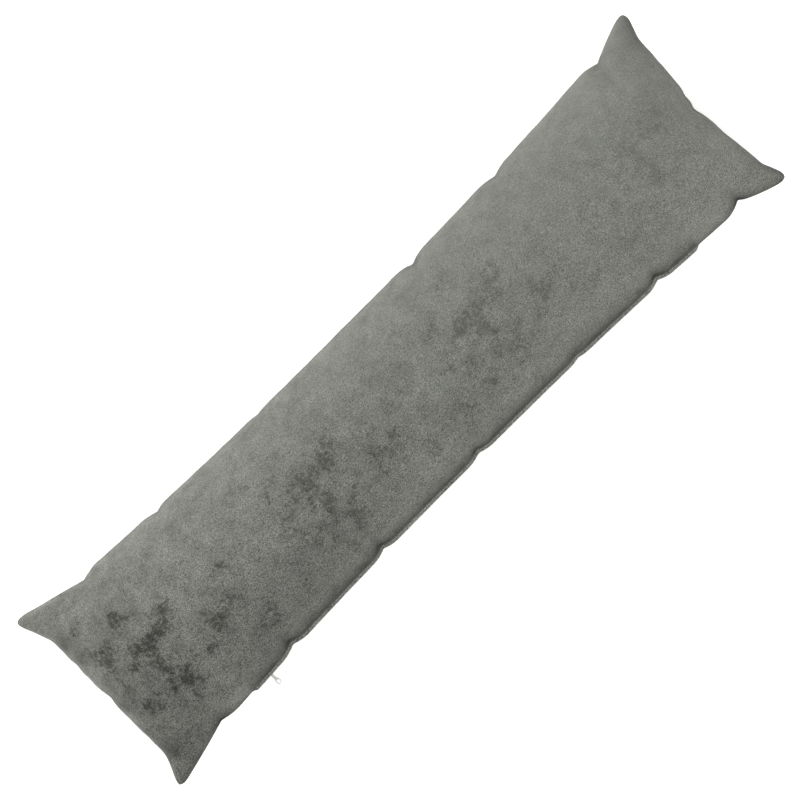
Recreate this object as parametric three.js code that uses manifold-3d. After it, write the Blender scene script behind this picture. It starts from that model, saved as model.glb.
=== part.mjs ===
import * as THREE from 'three';
import { mergeVertices } from 'three/addons/utils/BufferGeometryUtils.js';
import Module from 'manifold-3d';

// Long throw pillow in short-pile velour, lying on its back. Millimetres, +Z up.
// X runs along the pillow, +Y is its plain long edge and -Y the edge with the zip.
// The origin is the middle of the flat patch that the pillow rests on.

// Driving dimensions of the filled cover
const HALF_LENGTH = 710.5; // middle to the corner points, before the tips are rounded
const MID_HALF_WIDTH = 151.5; // the seam is drawn in this far half way along
const FLARE_AT = 541; // distance from the middle where the seam has its full flare
const FLARE_POWER = 2.5;
const EAR_DIP_REACH = 40; // how far from an ear the long seam starts to dip towards it
const TIP_PULL = 6; // rounding of the corner tips, measured back along both edges
const CROWN_RISE = 97; // face above the seam
const BELLY_DROP = 99; // back below the seam, before the floor flattens it
const SEAM_HEIGHT = 86; // seam above the floor
const SEAM_SAG = 12; // the unfilled corner tips hang this much lower
const SAG_POWER = 6;
const SECTION_POWER = 2.5; // roundness of the section across the pillow
const SECTION_ROOT = 0.6;
const END_START = 485; // from here the pillow falls away to its ends
const END_POWER = 2.2;
const END_ROOT = 0.55;
const END_SKEW_START = 560; // from here the sections bend to follow the short seams
const FLOOR_BLEND = 6; // softness of the bend between the flat patch and the belly
const PATCH_END = 540; // the flat patch ends this far from the middle
const PATCH_END_SLOPE = 0.06; // and from there the back rises at least this steeply
const SEAM_EDGE = 3; // thickness of the cover where its panels are sewn together
const SEAM_GROOVE = 1;
const CREASE_PER_DEPTH = 0.055; // share of the fullness that a gather takes, for each mm of its notch
const CREASE_FADE = 13; // how quickly that crease fades towards the middle
const EAR_CREASE_DEPTH = 6; // the crease at the foot of an ear is like one of a notch this deep

// Zip on the -Y seam
const LAP_START = -510; // ends of the lap along X
const LAP_END = 525;
const LAP_STEP = 6; // length over which the lap steps in at its ends
const LAP_OUT = 5.7; // lap beyond the seam
const LAP_THICK = 2.4;
const LAP_FALL = 1; // drop of the lap from the seam to its outer edge
const SLIT_DEPTH = 5; // slit behind the seam line
const SLIT_HEIGHT = 2.6;
const SLIT_FLOOR = SEAM_EDGE / 2 - LAP_FALL - LAP_THICK - SLIT_HEIGHT; // from the seam's height
const BACK_FOLD_OUT = 2.5; // folded edge of the back panel, under the lap
const CHAIN_WIDTH = 5.4;
const CHAIN_THICK = 1.5;
const CHAIN_END_GAP = 12; // the coil stops short of the lap's ends
const SLIDER_X = -467;
const SLIDER_LENGTH = 9.5;
const SLIDER_WIDTH = 8;
const SLIDER_WALL = 0.8;
const POCKET_LIFT = 5; // the lap stands up over the slider
const POCKET_DROP = 2; // and the back fold gives way under it
const POCKET_REACH = 17;
const BRIDGE_SPAN = 6.6;
const BRIDGE_THICK = 1.2;
const BRIDGE_WIDTH = 1.6;
const BRIDGE_RISE = 3.4; // top of the bridge above the slider
const PULL_LENGTH = 27.5; // middle of the eye to the tip
const PULL_THICK = 1.1;
const PULL_TILT = 0.07; // droop of the pull, in radians
const EYE_RADIUS = 2.5;
const EYE_HOLE = 1.4;
const STEM_HALF_WIDTH = 2.1;
const STEM_LENGTH = 8;
const RING_RADIUS = 4.5;
const RING_HOLE = 2.7;
const RING_NECK = 4.7; // middle of the ring to the point of its teardrop hole
const SHOULDER = 5.2; // middle of the ring to where its sides close in on the stem
const GAP = 0.3; // clearance between neighbouring pieces

// Mesh density
const ACROSS = 16;
const EDGE_ROWS = 5;
const LONGEST_STEP = 38; // between sections along the pillow
const SHORTEST_STEP = 4;
const EAR_STEP = 13; // sections beside the foot of an ear
const TIP_STEPS = [0, 6, 14, 26, 44, 70]; // sections back from the corner points
const SLIDER_STEPS = [8, 18, 30]; // sections to both sides of the slider

// One row for each quarter of the long seams. flare: extra half width at FLARE_AT.
// earX, earY: foot of the ear. tipY: point of the ear. bow: below 1 the ear's edge bows out.
const LONG_SEAMS = [
  { end: -1, side: 1, flare: 14, earX: 577, earY: 160, bow: 0.95, tipY: 195 },
  { end: -1, side: -1, flare: 17, earX: 580, earY: 164, bow: 0.92, tipY: 197.5 },
  { end: 1, side: 1, flare: 15, earX: 618, earY: 163, bow: 0.82, tipY: 198.4 },
  { end: 1, side: -1, flare: 14, earX: 621, earY: 159, bow: 0.66, tipY: 194 },
];

// One row for each half of the short seams. middle: distance from the middle of the pillow.
// earX, earY: foot of the ear. bow: below 1 the seam bows out between its middle and the ear.
const SHORT_SEAMS = [
  { end: -1, side: 1, middle: 686, earX: 686, earY: 113, bow: 1 },
  { end: -1, side: -1, middle: 686, earX: 686, earY: 128, bow: 1 },
  { end: 1, side: 1, middle: 684, earX: 694, earY: 147, bow: 0.6 },
  { end: 1, side: -1, middle: 684, earX: 693, earY: 146, bow: 1.3 },
];

// One row for each gather in a long seam: depth of the notch and half its length
const LONG_GATHERS = [
  { side: 1, x: -413, depth: 5, reach: 26 },
  { side: 1, x: -184, depth: 2.5, reach: 24 },
  { side: 1, x: 171, depth: 7, reach: 30 },
  { side: 1, x: 372, depth: 4.5, reach: 26 },
  { side: -1, x: -407, depth: 6, reach: 28 },
  { side: -1, x: -190, depth: 6, reach: 26 },
  { side: -1, x: 30, depth: 4.5, reach: 26 },
  { side: -1, x: 254, depth: 3, reach: 24 },
  { side: -1, x: 433, depth: 6, reach: 26 },
];

// One row for each gather in a short seam
const SHORT_GATHERS = [
  { end: -1, y: -7, depth: 5, reach: 24 },
  { end: -1, y: 70, depth: 2, reach: 20 },
  { end: 1, y: -4, depth: 6, reach: 30 },
  { end: 1, y: 34, depth: 2, reach: 16 },
  { end: 1, y: -67, depth: 2, reach: 24 },
];

// Share of a notch left at a distance from its middle: 1 there, 0 from its reach on
function notch(distance, reach) {
  return Math.max(0, 1 - Math.abs(distance) / reach) ** 2;
}

// -1 or 1, never 0
function signOf(value) {
  return value < 0 ? -1 : 1;
}

// Row of a seam table for the quarter of the pillow that holds a point
function quarterOf(table, x, y) {
  return table.find((row) => row.end === signOf(x) && row.side === signOf(y));
}

// Half width of the long seam at a distance along the pillow
function seamHalfWidth(x, side) {
  const { flare, earX, earY, bow, tipY } = quarterOf(LONG_SEAMS, x, side);
  const along = Math.abs(x);
  if (along > earX) {
    const out = (along - earX) / (HALF_LENGTH - earX);
    return earY + (tipY - earY) * out ** bow;
  }
  const flared = (distance) => MID_HALF_WIDTH + flare * (distance / FLARE_AT) ** FLARE_POWER;
  const earDip = (flared(earX) - earY) * notch(along - earX, EAR_DIP_REACH);
  const gathers = LONG_GATHERS.filter((row) => row.side === side);
  const drawnIn = gathers.reduce((sum, row) => sum + row.depth * notch(x - row.x, row.reach), 0);
  return flared(along) - earDip - drawnIn;
}

// Distance of the short seam from the middle of the pillow
function seamReach(end, y) {
  const { middle, earX, earY, bow } = quarterOf(SHORT_SEAMS, end, y);
  const { tipY } = quarterOf(LONG_SEAMS, end, y);
  const across = Math.abs(y);
  if (across > earY) {
    return earX + (HALF_LENGTH - earX) * ((across - earY) / (tipY - earY));
  }
  const gathers = SHORT_GATHERS.filter((row) => row.end === end);
  const drawnIn = gathers.reduce((sum, row) => sum + row.depth * notch(y - row.y, row.reach), 0);
  return middle + (earX - middle) * (across / earY) ** bow - drawnIn;
}

// Place in plan of a point on the section at x, a share of the way out to the seam (-1 to 1)
function planPoint(x, share) {
  const side = signOf(share);
  const end = signOf(x);
  const { tipY } = quarterOf(LONG_SEAMS, end, side);
  const out = Math.max(0, Math.abs(x) - END_SKEW_START) / (HALF_LENGTH - END_SKEW_START);
  const fromTip = HALF_LENGTH - Math.abs(x) + tipY * (1 - Math.abs(share));
  const pull = TIP_PULL * Math.max(0, 1 - fromTip / (4 * TIP_PULL)) ** 2;
  const straightX = Math.min(Math.abs(x), END_SKEW_START);
  const skewedX = out * (seamReach(end, share * tipY) - END_SKEW_START);
  return {
    x: end * (straightX + skewedX - pull),
    y: share * seamHalfWidth(x, side) - side * pull,
  };
}

function seamZ(x) {
  return SEAM_HEIGHT - SEAM_SAG * (Math.abs(x) / HALF_LENGTH) ** SAG_POWER;
}

// How full the pillow is at a point: 1 along its middle, 0 at the seam, less where a gather pulls it in
function fullness(x, share) {
  const side = signOf(share);
  const toEnd = Math.max(0, Math.abs(x) - END_START) / (HALF_LENGTH - END_START);
  const section = (1 - Math.abs(share) ** SECTION_POWER) ** SECTION_ROOT;
  const ending = (1 - toEnd ** END_POWER) ** END_ROOT;
  const { end, earX } = quarterOf(LONG_SEAMS, x, side);
  const earFoot = { x: end * earX, depth: EAR_CREASE_DEPTH, reach: EAR_DIP_REACH };
  const gathers = [...LONG_GATHERS.filter((row) => row.side === side), earFoot];
  const deepest = Math.max(...gathers.map((row) => row.depth * notch(x - row.x, row.reach)));
  const crease = CREASE_PER_DEPTH * deepest * Math.abs(share) ** CREASE_FADE;
  return section * ending * (1 - crease);
}

function faceZ(x, share) {
  return seamZ(x) + SEAM_EDGE / 2 + CROWN_RISE * fullness(x, share);
}

// The back, pressed flat by the floor with a soft bend at the rim of the patch
function backZ(x, share) {
  const hanging = seamZ(x) - SEAM_EDGE / 2 - BELLY_DROP * fullness(x, share);
  if (hanging > FLOOR_BLEND) {
    return hanging;
  }
  const pressed = Math.max(0, hanging + FLOOR_BLEND) ** 2 / (4 * FLOOR_BLEND);
  const endRise = PATCH_END_SLOPE * Math.max(0, Math.abs(x) - PATCH_END);
  return Math.max(pressed, endRise);
}

// 1 along the lap, 0 beyond its ends
function lapShare(x) {
  const inside = Math.min(x - LAP_START, LAP_END - x);
  return THREE.MathUtils.clamp(inside / LAP_STEP, 0, 1);
}

// 1 at the slider, where the lap stands open, fading along the slit
function pocketShare(x) {
  return Math.exp(-(((x - SLIDER_X) / POCKET_REACH) ** 2));
}

// The sewn edge from the face (row 0) to the back (last row): outward offset and height from the seam
function edgeRow(x, side, row) {
  const plainIn = row === 0 || row === EDGE_ROWS ? 0 : -SEAM_GROOVE;
  const plain = { out: plainIn, up: SEAM_EDGE * (0.5 - row / EDGE_ROWS) };
  const lap = side < 0 ? lapShare(x) : 0;
  const lift = POCKET_LIFT * pocketShare(x);
  const drop = POCKET_DROP * pocketShare(x);
  const lapTop = SEAM_EDGE / 2;
  const zipRows = [
    { out: 0, up: lapTop + lift },
    { out: LAP_OUT, up: lapTop - LAP_FALL + lift },
    { out: LAP_OUT, up: SLIT_FLOOR + SLIT_HEIGHT + lift },
    { out: -SLIT_DEPTH, up: SLIT_FLOOR + SLIT_HEIGHT + lift },
    { out: -SLIT_DEPTH, up: SLIT_FLOOR - drop },
    { out: BACK_FOLD_OUT, up: SLIT_FLOOR - drop },
  ];
  return {
    out: THREE.MathUtils.lerp(plain.out, zipRows[row].out, lap),
    up: THREE.MathUtils.lerp(plain.up, zipRows[row].up, lap),
  };
}

// Sections along the pillow: at the gathers, the ears, the slider, the ends of the lap and of the flat patch,
// and evenly between.
// None falls within the slider's own stretch, so that the coil is straight there.
function sectionPlaces() {
  const marks = [LAP_START, LAP_START + LAP_STEP, LAP_END - LAP_STEP, LAP_END];
  marks.push(PATCH_END, -PATCH_END);
  for (const { x, reach } of LONG_GATHERS) {
    marks.push(x - reach, x - reach / 3, x, x + reach / 3, x + reach);
  }
  for (const { end, earX } of LONG_SEAMS) {
    marks.push(end * (earX - EAR_STEP), end * earX, end * (earX + EAR_STEP));
  }
  for (const back of TIP_STEPS) {
    marks.push(HALF_LENGTH - back, back - HALF_LENGTH);
  }
  const free = marks.filter((x) => Math.abs(x - SLIDER_X) > SLIDER_STEPS[0] + SHORTEST_STEP);
  for (const aside of SLIDER_STEPS) {
    free.push(SLIDER_X - aside, SLIDER_X + aside);
  }
  free.sort((a, b) => a - b);
  const places = [free[0]];
  for (const x of free) {
    const before = places.at(-1);
    if (x - before >= SHORTEST_STEP) {
      const steps = Math.ceil((x - before) / LONGEST_STEP);
      for (let step = 1; step <= steps; step += 1) {
        places.push(before + ((x - before) * step) / steps);
      }
    }
  }
  return places;
}

// Moves each point of a box, given by its step along, across and down, to its place on the piece
function shapedBox(along, across, down, place) {
  const geometry = new THREE.BoxGeometry(1, 1, 1, along, across, down);
  const points = geometry.getAttribute('position');
  for (let index = 0; index < points.count; index += 1) {
    const i = Math.round((points.getX(index) + 0.5) * along);
    const j = Math.round((points.getY(index) + 0.5) * across);
    const k = Math.round((0.5 - points.getZ(index)) * down);
    const { x, y, z } = place(i, j, k);
    points.setXYZ(index, x, y, z);
  }
  return closed(geometry);
}

// The same geometry with shared vertices and smooth normals
function closed(geometry) {
  geometry.deleteAttribute('normal');
  geometry.deleteAttribute('uv');
  const merged = mergeVertices(geometry, 1e-4);
  merged.computeVertexNormals();
  return merged;
}

function pillowGeometry(places) {
  const last = places.length - 1;
  return shapedBox(last, ACROSS, EDGE_ROWS, (i, j, k) => {
    const x = places[i];
    const share = Math.sin((j / ACROSS - 0.5) * Math.PI);
    const plan = planPoint(x, share);
    const onLongSeam = j === 0 || j === ACROSS;
    const onShortSeam = i === 0 || i === last;
    if (!onLongSeam && !onShortSeam) {
      return { ...plan, z: k === 0 ? faceZ(x, share) : backZ(x, share) };
    }
    const side = j === 0 ? -1 : 1;
    const edge = edgeRow(x, onLongSeam ? side : 1, k);
    const outX = onShortSeam ? Math.sign(x) * edge.out : 0;
    const outY = onLongSeam ? side * edge.out : 0;
    return { x: plan.x + outX, y: plan.y + outY, z: seamZ(x) + edge.up };
  });
}

// Middle of the coil at a section: just above the slit's floor, far enough out for the slider to pass
function chainMiddle(x) {
  const plan = planPoint(x, -1);
  return {
    x: plan.x,
    y: plan.y + SLIT_DEPTH - GAP - SLIDER_WIDTH / 2,
    z: seamZ(x) + SLIT_FLOOR + GAP + CHAIN_THICK / 2,
  };
}

function chainGeometry(places) {
  const from = LAP_START + CHAIN_END_GAP;
  const to = LAP_END - CHAIN_END_GAP;
  const steps = places.filter((x) => x > from && x < to);
  return shapedBox(steps.length - 1, 1, 1, (i, j, k) => {
    const middle = chainMiddle(steps[i]);
    return {
      x: middle.x,
      y: middle.y + (j - 0.5) * CHAIN_WIDTH,
      z: middle.z + (0.5 - k) * CHAIN_THICK,
    };
  });
}

function rectangle(path, width, height) {
  path.moveTo(-width / 2, -height / 2);
  path.lineTo(width / 2, -height / 2);
  path.lineTo(width / 2, height / 2);
  path.lineTo(-width / 2, height / 2);
  path.closePath();
  return path;
}

// Slider body: a flat sleeve around the coil, its length along X
function sliderBody(halfHeight) {
  const section = rectangle(new THREE.Shape(), SLIDER_WIDTH, 2 * halfHeight);
  const holeWidth = CHAIN_WIDTH + 2 * GAP;
  const holeHeight = CHAIN_THICK + 2 * GAP;
  section.holes.push(rectangle(new THREE.Path(), holeWidth, holeHeight));
  const sleeve = new THREE.ExtrudeGeometry(section, { depth: SLIDER_LENGTH, bevelEnabled: false });
  sleeve.translate(0, 0, -SLIDER_LENGTH / 2);
  sleeve.applyMatrix4(new THREE.Matrix4().set(0, 0, 1, 0, 1, 0, 0, 0, 0, 1, 0, 0, 0, 0, 0, 1));
  return closed(sleeve);
}

// Bridge: an arch along the slider, with a tunnel that the pull's eye passes through
function sliderBridge(halfHeight) {
  const foot = halfHeight - SLIDER_WALL / 2;
  const top = halfHeight + BRIDGE_RISE;
  const outer = BRIDGE_SPAN / 2;
  const inner = outer - BRIDGE_THICK;
  const arch = new THREE.Shape();
  arch.moveTo(-outer, foot);
  arch.lineTo(-inner, foot);
  arch.lineTo(-inner, top - BRIDGE_THICK);
  arch.lineTo(inner, top - BRIDGE_THICK);
  arch.lineTo(inner, foot);
  arch.lineTo(outer, foot);
  arch.lineTo(outer, top - BRIDGE_THICK);
  arch.quadraticCurveTo(outer, top, inner, top);
  arch.lineTo(-inner, top);
  arch.quadraticCurveTo(-outer, top, -outer, top - BRIDGE_THICK);
  const options = { depth: BRIDGE_WIDTH, bevelEnabled: false, curveSegments: 4 };
  const bridge = new THREE.ExtrudeGeometry(arch, options);
  bridge.translate(0, 0, -BRIDGE_WIDTH / 2);
  bridge.rotateX(Math.PI / 2);
  return closed(bridge);
}

function solidOf(wasm, geometry) {
  const vertProperties = new Float32Array(geometry.getAttribute('position').array);
  const triVerts = new Uint32Array(geometry.getIndex().array);
  return new wasm.Manifold(new wasm.Mesh({ numProp: 3, vertProperties, triVerts }));
}

function joined(wasm, first, second) {
  const mesh = solidOf(wasm, first).add(solidOf(wasm, second)).getMesh();
  const geometry = new THREE.BufferGeometry();
  geometry.setAttribute('position', new THREE.BufferAttribute(mesh.vertProperties, 3));
  geometry.setIndex(new THREE.BufferAttribute(mesh.triVerts, 1));
  geometry.computeVertexNormals();
  return geometry;
}

// Pull: a flat teardrop drawn along +Y, with the eye at the origin and an open ring at the far end
function pullGeometry() {
  const ringY = PULL_LENGTH - RING_RADIUS;
  const shoulderY = ringY - SHOULDER;
  const neckY = ringY - RING_NECK;
  const outline = new THREE.Shape();
  outline.absarc(0, 0, EYE_RADIUS, Math.PI, 2 * Math.PI, false);
  outline.lineTo(STEM_HALF_WIDTH, STEM_LENGTH);
  outline.bezierCurveTo(STEM_HALF_WIDTH, shoulderY, RING_RADIUS, shoulderY, RING_RADIUS, ringY);
  outline.absarc(0, ringY, RING_RADIUS, 0, Math.PI, false);
  outline.bezierCurveTo(-RING_RADIUS, shoulderY, -STEM_HALF_WIDTH, shoulderY, -STEM_HALF_WIDTH, STEM_LENGTH);
  outline.closePath();
  const eye = new THREE.Path();
  eye.absarc(0, 0, EYE_HOLE, 0, 2 * Math.PI, true);
  const ring = new THREE.Path();
  ring.absarc(0, ringY, RING_HOLE, 0, Math.PI, false);
  ring.quadraticCurveTo(-RING_HOLE, (ringY + neckY) / 2, 0, neckY);
  ring.quadraticCurveTo(RING_HOLE, (ringY + neckY) / 2, RING_HOLE, ringY);
  outline.holes.push(eye, ring);
  const options = { depth: PULL_THICK, bevelEnabled: false, curveSegments: 10 };
  return closed(new THREE.ExtrudeGeometry(outline, options));
}

function piece(name, geometry, color, roughness, metalness) {
  const material = new THREE.MeshStandardMaterial({ color, roughness, metalness });
  const mesh = new THREE.Mesh(geometry, material);
  mesh.name = name;
  return mesh;
}

const wasm = await Module();
wasm.setup();

const places = sectionPlaces();
const part = new THREE.Group();
part.add(piece('pillow', pillowGeometry(places), '#84867d', 0.95, 0));
part.add(piece('zip_chain', chainGeometry(places), '#5d5f59', 0.6, 0));

// The slider and its pull, in line with the coil where they sit
const behind = chainMiddle(SLIDER_X - SLIDER_STEPS[0]);
const ahead = chainMiddle(SLIDER_X + SLIDER_STEPS[0]);
const zipEnd = new THREE.Group();
zipEnd.position.set((behind.x + ahead.x) / 2, (behind.y + ahead.y) / 2, (behind.z + ahead.z) / 2);
zipEnd.rotation.z = Math.atan2(ahead.y - behind.y, ahead.x - behind.x);
part.add(zipEnd);

const sliderHalfHeight = CHAIN_THICK / 2 + GAP + SLIDER_WALL;
const sliderGeometry = joined(wasm, sliderBody(sliderHalfHeight), sliderBridge(sliderHalfHeight));
zipEnd.add(piece('zip_slider', sliderGeometry, '#b9bbb9', 0.32, 1));

// The eye hangs on the bridge's leg, and the pull leaves over the slider's outer edge
const pull = piece('zip_pull', pullGeometry(), '#c6c7c5', 0.3, 1);
const eyeX = -(BRIDGE_SPAN - BRIDGE_THICK) / 2;
const eyeLift = (SLIDER_WIDTH / 2) * Math.tan(PULL_TILT);
pull.position.set(eyeX, 0, sliderHalfHeight + GAP + eyeLift);
pull.rotation.set(PULL_TILT, 0, Math.PI, 'XYZ');
zipEnd.add(pull);

export default part;
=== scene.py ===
import math

import bmesh
import bpy
from mathutils import Matrix, Vector, geometry, noise


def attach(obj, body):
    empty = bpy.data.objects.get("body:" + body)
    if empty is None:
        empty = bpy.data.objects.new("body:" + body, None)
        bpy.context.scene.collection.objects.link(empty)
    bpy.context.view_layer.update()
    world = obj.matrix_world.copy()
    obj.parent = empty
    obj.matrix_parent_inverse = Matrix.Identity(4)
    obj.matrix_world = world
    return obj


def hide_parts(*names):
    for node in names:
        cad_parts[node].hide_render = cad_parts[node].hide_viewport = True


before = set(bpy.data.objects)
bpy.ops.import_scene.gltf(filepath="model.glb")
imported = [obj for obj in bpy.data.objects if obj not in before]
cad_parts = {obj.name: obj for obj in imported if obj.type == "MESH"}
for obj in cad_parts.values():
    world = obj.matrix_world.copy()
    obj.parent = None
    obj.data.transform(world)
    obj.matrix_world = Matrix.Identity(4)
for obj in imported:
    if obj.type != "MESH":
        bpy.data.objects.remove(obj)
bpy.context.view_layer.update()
print("frame loaded:", sorted(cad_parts))

mm = 0.001  # sizes below are in millimetres, meshes in metres
noiseSpan = {"From Min": 0.3, "From Max": 0.7}  # nearly all values of a noise lie between these


# Colours are written as sRGB hex and used as linear values
def linear(hexColour):
    channels = [int(hexColour[i:i + 2], 16) / 255 for i in (1, 3, 5)]
    return [c / 12.92 if c <= 0.04045 else ((c + 0.055) / 1.055) ** 2.4 for c in channels] + [1.0]


# Adds a node with its settings and its inputs, in order or by name, as values or as links from other nodes.
# It gives back one of the node's outputs
def addNode(tree, kind, inputs=(), out=0, **settings):
    node = tree.nodes.new("ShaderNode" + kind)
    for name, value in settings.items():
        setattr(node, name, value)
    for name, value in inputs.items() if isinstance(inputs, dict) else enumerate(inputs):
        if isinstance(value, bpy.types.NodeSocket):
            tree.links.new(value, node.inputs[name])
        else:
            node.inputs[name].default_value = value
    return node.outputs[out] if node.outputs else None


def newMaterial(name):
    material = bpy.data.materials.new(name)
    material.use_nodes = True
    material.node_tree.nodes.clear()
    return material, material.node_tree


# Ends a material: its colour made lighter and darker by a tone, then the shader's other inputs
def finishMaterial(tree, colour, tone, inputs):
    tinted = addNode(tree, "Mix", {0: 1.0, 6: colour, 7: tone}, out=2, data_type="RGBA",
                     blend_type="MULTIPLY")
    shader = addNode(tree, "BsdfPrincipled", {"Base Color": tinted, **inputs})
    addNode(tree, "OutputMaterial", {"Surface": shader})


def meshObject(name, bm, materials):
    mesh = bpy.data.meshes.new(name)
    bm.to_mesh(mesh)
    bm.free()
    mesh.shade_smooth()
    for material in materials:
        mesh.materials.append(material)
    obj = bpy.data.objects.new(name, mesh)
    bpy.context.scene.collection.objects.link(obj)
    return obj


# Gives an object the mesh that its modifiers make
def applyModifiers(obj):
    mesh = bpy.data.meshes.new_from_object(obj.evaluated_get(bpy.context.evaluated_depsgraph_get()))
    obj.modifiers.clear()
    obj.data = mesh
    return mesh


def vertsOf(geom):
    return [item for item in geom if isinstance(item, bmesh.types.BMVert)]


def facesOf(geom):
    return [item for item in geom if isinstance(item, bmesh.types.BMFace)]


def addBox(bm, size, middle):
    box = bmesh.ops.create_cube(bm, size=1)["verts"]
    bmesh.ops.scale(bm, verts=box, vec=size)
    bmesh.ops.translate(bm, verts=box, vec=middle)
    return box


def roundEdges(bm, edges, radius, segments):
    bmesh.ops.bevel(bm, geom=edges, offset=radius, segments=segments, profile=0.5, affect="EDGES",
                    material=-1)


# Rows of numbers as dictionaries with these names
def namedRows(names, *rows):
    return [dict(zip(names.split(), row)) for row in rows]


# The filled cover: two velour panels sewn together all round
pillow = {
    "halfLength": 715.5,  # middle to the corner points, before they are rounded
    "midHalfWidth": 151.5,  # the long seams are drawn in half way along
    "flareAt": 541,
    "flarePower": 2.5,
    "earDipReach": 40,
    "tipPull": 10,  # rounding of the corner tips
    "tipPullReach": 30,
    "crownRise": 88,  # face above the seam, before the filling swells it
    "bellyDrop": 97,  # back below the seam, before the floor flattens it
    "seamHeight": 86,
    "seamSag": 12,  # the unfilled corner tips hang lower
    "sagPower": 6,
    "sectionPower": 2.5,
    "sectionRoot": 0.6,
    "endStart": 485,  # from here the pillow falls away to its ends
    "endPower": 2.2,
    "endRoot": 0.55,
    "endSkewStart": 560,  # from here the columns bend to follow the short seams
    "floorBlend": 6,
    "patchEnd": 540,  # the flat patch ends here, and the back rises
    "patchEndSlope": 0.06,
    "creasePerDepth": 0.055,
    "creaseFade": 13,
    "earCreaseDepth": 6,
    "cellsAcross": 48,
    "cellsToSeam": 1.6,  # above 1 the cells close up towards the long seams
    "evenFrom": 640,  # from here to the end they spread evenly along the short seam
    "longestStep": 9,  # between columns along the pillow
    "shortestStep": 2.5,
    # Columns are set at these shares of a gather's reach, and this far from ears, tips and slider
    "gatherMarks": (-1, -0.5, -0.2, 0, 0.2, 0.5, 1),
    "earMarks": (-13, -4, 0, 4, 13),
    "tipMarks": (0, 3, 7, 12, 18, 26, 36),
    "sliderMarks": (-18, -9, 0, 9, 18),
    # Small unevenness of the sewn edges, in and out of the outline, and the noise rows that it follows
    "waveLength": 15,
    "plainWave": 0.8,
    "zipWave": 0.3,
    "endWave": 1.3,
    "waveFade": 14,
    "longWaveRow": (7.3, 0),
    "endWaveRow": (3.1, 5),
    # Quarters of the long seams: extra half width, foot of the ear, bow of its edge, point of the ear
    "longSeams": namedRows(
        "end side flare earX earY bow tipY",
        (-1, 1, 14, 577, 159.5, 0.95, 196), (-1, -1, 16, 580, 162.5, 0.92, 198.5),
        (1, 1, 15, 619, 162.5, 0.82, 199.4), (1, -1, 14, 622.5, 157.5, 0.68, 195),
    ),
    # Halves of the short seams: distance from the middle, foot of the ear, bow between them, bow of the ear
    "shortSeams": namedRows(
        "end side middle earX earY bow earBow",
        (-1, 1, 687, 686, 124, 1, 1.2), (-1, -1, 687, 685.5, 133, 1, 1.3),
        (1, 1, 683, 695.5, 147, 0.7, 1), (1, -1, 683, 694.5, 146, 1.4, 1),
    ),
    # Gathers in the long seams: place, depth of the notch and half its length
    "longGathers": namedRows(
        "side x depth reach",
        (1, -413, 5, 26), (1, -184, 2.5, 24), (1, 171, 8.5, 32), (1, 368, 6.5, 30),
        (-1, -409, 7.3, 33), (-1, -193, 6.8, 28), (-1, 28, 5.7, 29), (-1, 254, 3, 24), (-1, 436, 7.5, 28),
    ),
    # Gathers in the short seams
    "shortGathers": namedRows(
        "end y depth reach",
        (-1, -7, 5, 24), (-1, 70, 2, 20), (1, -2, 6, 30), (1, 24, 3.4, 26), (1, -67, 2, 24),
    ),
    # Sewn edge from the face down to the back: distance out from the seam, height above it
    "plainEdge": [
        (0, 1.5), (0.1, 1.2), (0, 0.9), (-0.5, 0.5), (-1.4, 0.2), (-1.8, 0.05),
        (-1.8, -0.05), (-1.4, -0.2), (-0.5, -0.5), (0, -0.9), (0.1, -1.2), (0, -1.5),
    ],
    # The zip edge: lap of the face with its stitched-down groove, slit, folded edge of the back
    "zipEdge": [
        (-0.4, 0.9), (1.2, 2.4), (2.6, 0.5), (4.2, 1.7), (5.7, 0.5), (5.6, -1.4),
        (4.4, -1.9), (-4.6, -1.9), (-5, -3.2), (-4.6, -4.5), (1.6, -4.5), (2.5, -5.2),
    ],
    "slitRow": 8,  # rows from here on belong to the back's side of the slit
    "lapStart": -510,
    "lapEnd": 525,
    "lapStep": 6,
    "sliderX": -467,
    "pocketLift": 5,  # the lap stands up over the slider
    "pocketDrop": 2,
    "pocketReach": 17,
}


def notch(distance, reach):
    return max(0.0, 1 - abs(distance) / reach) ** 2


def signOf(value):
    return -1 if value < 0 else 1


def quarterOf(table, x, y):
    return next(row for row in pillow[table] if row["end"] == signOf(x) and row["side"] == signOf(y))


# How far each gather of a seam, known by its side or end, draws the seam in at a place along it
def pulls(table, edge, where, key, place):
    return [g["depth"] * notch(place - g[key], g["reach"]) for g in pillow[table] if g[edge] == where]


def seamHalfWidth(x, side):
    row = quarterOf("longSeams", x, side)
    along = abs(x)
    if along > row["earX"]:
        out = (along - row["earX"]) / (pillow["halfLength"] - row["earX"])
        return row["earY"] + (row["tipY"] - row["earY"]) * out ** row["bow"]
    flared = [pillow["midHalfWidth"] + row["flare"] * (distance / pillow["flareAt"]) ** pillow["flarePower"]
              for distance in (along, row["earX"])]
    earDip = (flared[1] - row["earY"]) * notch(along - row["earX"], pillow["earDipReach"])
    return flared[0] - earDip - sum(pulls("longGathers", "side", side, "x", x))


def seamReach(end, y):
    row = quarterOf("shortSeams", end, y)
    tipY = quarterOf("longSeams", end, y)["tipY"]
    across = abs(y)
    if across > row["earY"]:
        out = (across - row["earY"]) / (tipY - row["earY"])
        return row["earX"] + (pillow["halfLength"] - row["earX"]) * out ** row["earBow"]
    bowed = row["middle"] + (row["earX"] - row["middle"]) * (across / row["earY"]) ** row["bow"]
    return bowed - sum(pulls("shortGathers", "end", end, "y", y))


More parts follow.
